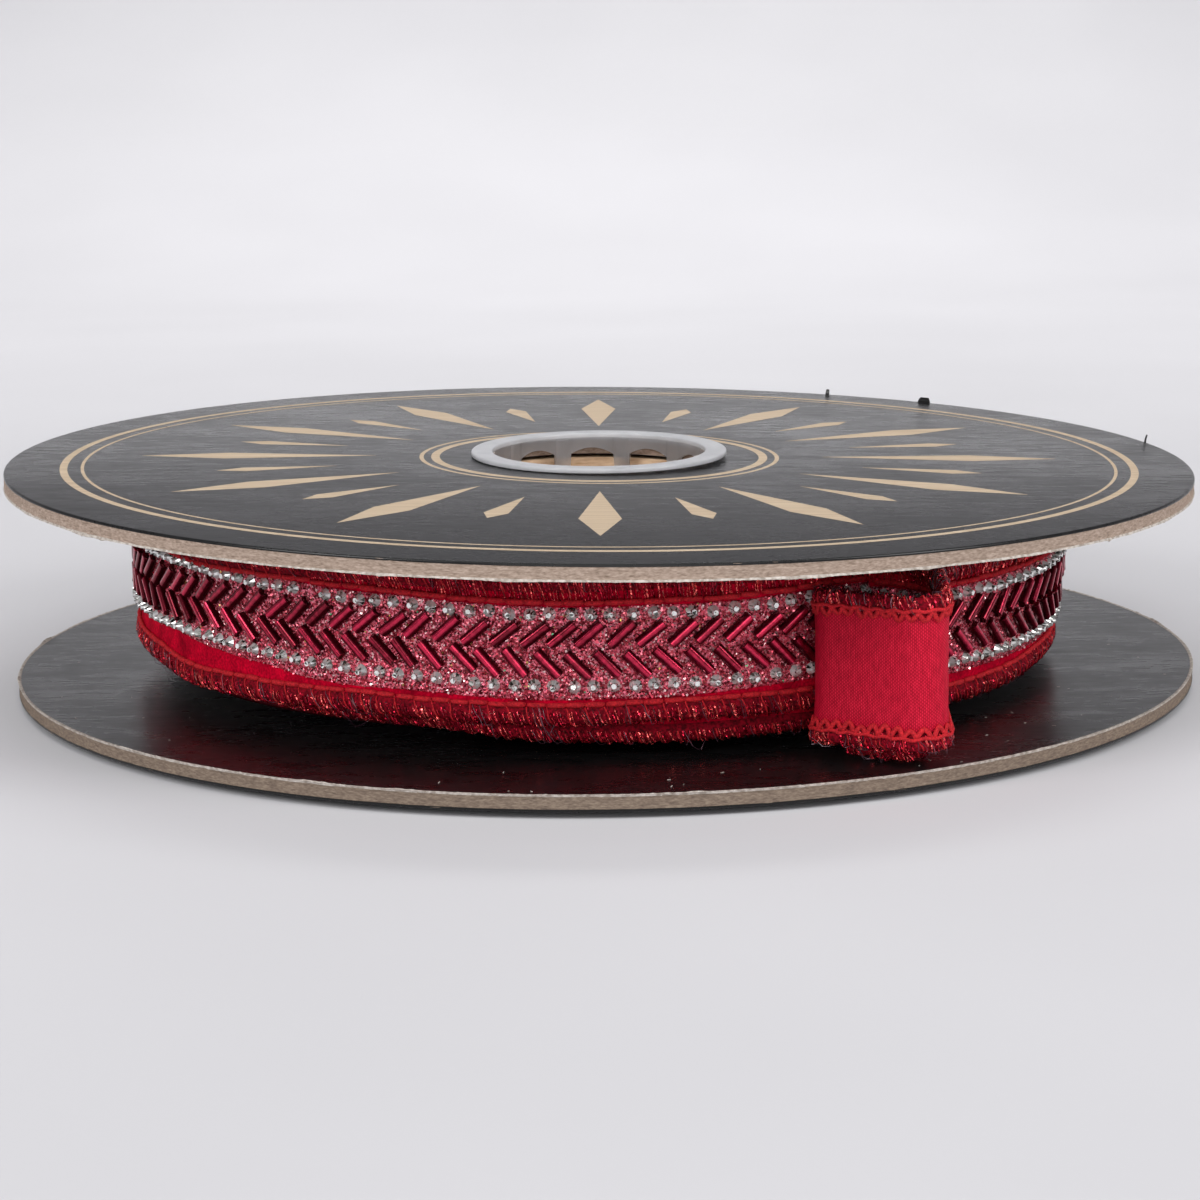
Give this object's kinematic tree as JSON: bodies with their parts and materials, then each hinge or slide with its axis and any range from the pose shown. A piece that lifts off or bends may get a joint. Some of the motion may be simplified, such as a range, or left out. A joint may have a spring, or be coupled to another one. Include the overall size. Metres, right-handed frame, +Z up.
{
  "type": "roll of beaded ribbon trim on a greyboard reel",
  "caption": "Flat reel of two round card flanges on a cardboard core with plastic hub plugs, wound with a one-inch beaded ribbon whose loose end curls out in front.",
  "frame": {"origin": "centre of the reel's base: on the reel's axis, on the plane that the lower hub ring rests on", "axes": "+Z up along the reel's axis, -Y towards the side where the loose end shows, +X to its right"},
  "size_m": [0.2207, 0.2209, 0.0427],
  "materials": {
    "faced_board": "charcoal facing paper with a fine brushed satin look, on grey-brown board that shows at the cut rim",
    "kraft_tube": "plain wound kraft board",
    "hub_plastic": "moulded, milky and slightly translucent",
    "beaded_ribbon": "red velvet ribbon with a rose glitter band, garnet bugle beads, clear rhinestones and red tinsel overlocked edges",
    "ribbon_back": "plain woven red cloth, the ribbon's back"
  },
  "bodies": {
    "root": {"bottom_flange": "faced_board", "top_flange": "faced_board", "core_tube": "kraft_tube", "bottom_hub_plug": "hub_plastic", "top_hub_plug": "hub_plastic", "ribbon_roll": "beaded_ribbon", "ribbon_end": "ribbon_back"}
  },
  "joints": []
}
